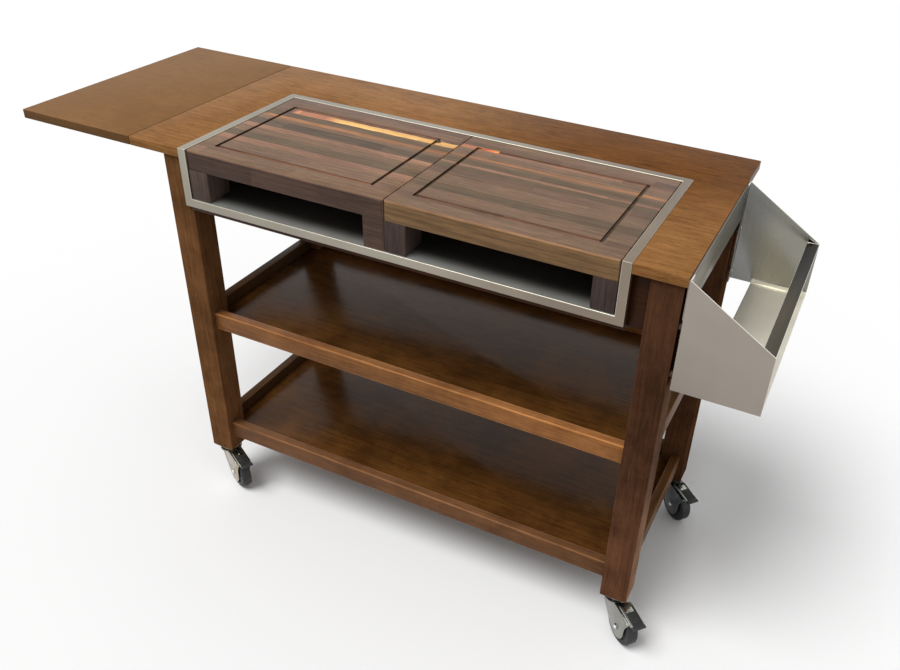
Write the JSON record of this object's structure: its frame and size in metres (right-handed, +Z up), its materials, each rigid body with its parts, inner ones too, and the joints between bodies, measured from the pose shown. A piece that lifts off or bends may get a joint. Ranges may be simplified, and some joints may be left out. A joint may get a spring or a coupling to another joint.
{
  "type": "cheese trolley",
  "caption": "Wooden serving trolley on braked castors: two shelves, a steel tray with lift-out walnut boards, a drop leaf at one end and a steel rack at the other.",
  "frame": {"origin": "on the floor, under the middle of the object's footprint", "axes": "+Z up, the front with the open tray faces -Y, the rack is at +X and the drop leaf at -X"},
  "size_m": [1.6756, 0.6162, 0.9255],
  "materials": {
    "frame_wood": "satin lacquer over dark brown stain",
    "top_wood": "satin lacquer over warm brown stain",
    "leaf_wood": "satin lacquer over warm brown stain",
    "board_wood": "oiled walnut",
    "tray_steel": "brushed",
    "castor_chrome": "bright plated",
    "tyre_rubber": "matte",
    "hub_plastic": "matte",
    "pad_rubber": "textured"
  },
  "bodies": {
    "trolley": {"leg_front_left": "frame_wood", "leg_front_right": "frame_wood", "leg_rear_left": "frame_wood", "leg_rear_right": "frame_wood", "apron_left": "frame_wood", "apron_right": "frame_wood", "apron_rear": "frame_wood", "apron_front_right": "frame_wood", "main_top": "top_wood", "tray_box_walls": "frame_wood", "tray_box_bottom": "frame_wood", "steel_tray": "tray_steel", "middle_panel": "frame_wood", "middle_rail_front": "frame_wood", "middle_rail_rear": "frame_wood", "middle_rail_left": "frame_wood", "middle_rail_right": "frame_wood", "lower_panel": "frame_wood", "lower_rail_front": "frame_wood", "lower_rail_rear": "frame_wood", "lower_rail_left": "frame_wood", "lower_rail_right": "frame_wood", "rack_side_front": "tray_steel", "rack_side_rear": "tray_steel", "rack_strip": "tray_steel", "rack_floor": "tray_steel", "rack_bar": "tray_steel", "rack_screws": "tray_steel", "bracket_fixed": "castor_chrome", "castor_plate_fl": "castor_chrome", "castor_plate_fr": "castor_chrome", "castor_plate_rl": "castor_chrome", "castor_plate_rr": "castor_chrome"},
    "leaf": {"drop_leaf": "leaf_wood", "bracket_arms": "castor_chrome"},
    "left_board": {"board_left": "board_wood", "board_left_feet": "board_wood"},
    "right_board": {"board_right": "board_wood", "board_right_feet": "board_wood"},
    "castor_fl": {"castor_fork_fl": "castor_chrome"},
    "wheel_fl": {"tyre_fl": "tyre_rubber", "hub_fl": "hub_plastic"},
    "brake_fl": {"brake_pedal_fl": "castor_chrome", "pedal_pad_fl": "pad_rubber"},
    "castor_fr": {"castor_fork_fr": "castor_chrome"},
    "wheel_fr": {"tyre_fr": "tyre_rubber", "hub_fr": "hub_plastic"},
    "brake_fr": {"brake_pedal_fr": "castor_chrome", "pedal_pad_fr": "pad_rubber"},
    "castor_rl": {"castor_fork_rl": "castor_chrome"},
    "wheel_rl": {"tyre_rl": "tyre_rubber", "hub_rl": "hub_plastic"},
    "brake_rl": {"brake_pedal_rl": "castor_chrome", "pedal_pad_rl": "pad_rubber"},
    "castor_rr": {"castor_fork_rr": "castor_chrome"},
    "wheel_rr": {"tyre_rr": "tyre_rubber", "hub_rr": "hub_plastic"},
    "brake_rr": {"brake_pedal_rr": "castor_chrome", "pedal_pad_rr": "pad_rubber"}
  },
  "joints": [
    {"name": "leaf_fold", "type": "hinge", "parent": "trolley", "child": "leaf", "pos_m": [-0.532, 0.02159, 0.9], "axis": [0, -1, 0], "range_deg": [0, 90]},
    {"name": "left_board_lift", "type": "slide", "parent": "trolley", "child": "left_board", "axis": [0, 0, 1], "range_m": [0, 0.16]},
    {"name": "right_board_lift", "type": "slide", "parent": "trolley", "child": "right_board", "axis": [0, 0, 1], "range_m": [0, 0.16]},
    {"name": "castor_fl_swivel", "type": "hinge", "parent": "trolley", "child": "castor_fl", "pos_m": [-0.41625, -0.2299, 0.1], "axis": [0, 0, 1], "continuous": true},
    {"name": "wheel_fl_roll", "type": "hinge", "parent": "castor_fl", "child": "wheel_fl", "pos_m": [-0.37872, -0.24986, 0.045], "axis": [0.4695, 0.8829, 0], "continuous": true},
    {"name": "brake_fl_press", "type": "hinge", "parent": "castor_fl", "child": "brake_fl", "pos_m": [-0.3593, -0.26019, 0.0905], "axis": [0.4695, 0.8829, 0], "range_deg": [0, 8]},
    {"name": "castor_fr_swivel", "type": "hinge", "parent": "trolley", "child": "castor_fr", "pos_m": [0.63975, -0.2299, 0.1], "axis": [0, 0, 1], "continuous": true},
    {"name": "wheel_fr_roll", "type": "hinge", "parent": "castor_fr", "child": "wheel_fr", "pos_m": [0.67183, -0.25779, 0.045], "axis": [0.6561, 0.7547, 0], "continuous": true},
    {"name": "brake_fr_press", "type": "hinge", "parent": "castor_fr", "child": "brake_fr", "pos_m": [0.68843, -0.27222, 0.0905], "axis": [0.6561, 0.7547, 0], "range_deg": [0, 8]},
    {"name": "castor_rl_swivel", "type": "hinge", "parent": "trolley", "child": "castor_rl", "pos_m": [-0.41625, 0.20009, 0.1], "axis": [0, 0, 1], "continuous": true},
    {"name": "wheel_rl_roll", "type": "hinge", "parent": "castor_rl", "child": "wheel_rl", "pos_m": [-0.38144, 0.17572, 0.045], "axis": [0.5736, 0.8192, 0], "continuous": true},
    {"name": "brake_rl_press", "type": "hinge", "parent": "castor_rl", "child": "brake_rl", "pos_m": [-0.36341, 0.1631, 0.0905], "axis": [0.5736, 0.8192, 0], "range_deg": [0, 8]},
    {"name": "castor_rr_swivel", "type": "hinge", "parent": "trolley", "child": "castor_rr", "pos_m": [0.63975, 0.20009, 0.1], "axis": [0, 0, 1], "continuous": true},
    {"name": "wheel_rr_roll", "type": "hinge", "parent": "castor_rr", "child": "wheel_rr", "pos_m": [0.67183, 0.17221, 0.045], "axis": [0.6561, 0.7547, 0], "continuous": true},
    {"name": "brake_rr_press", "type": "hinge", "parent": "castor_rr", "child": "brake_rr", "pos_m": [0.68843, 0.15778, 0.0905], "axis": [0.6561, 0.7547, 0], "range_deg": [0, 8]}
  ]
}
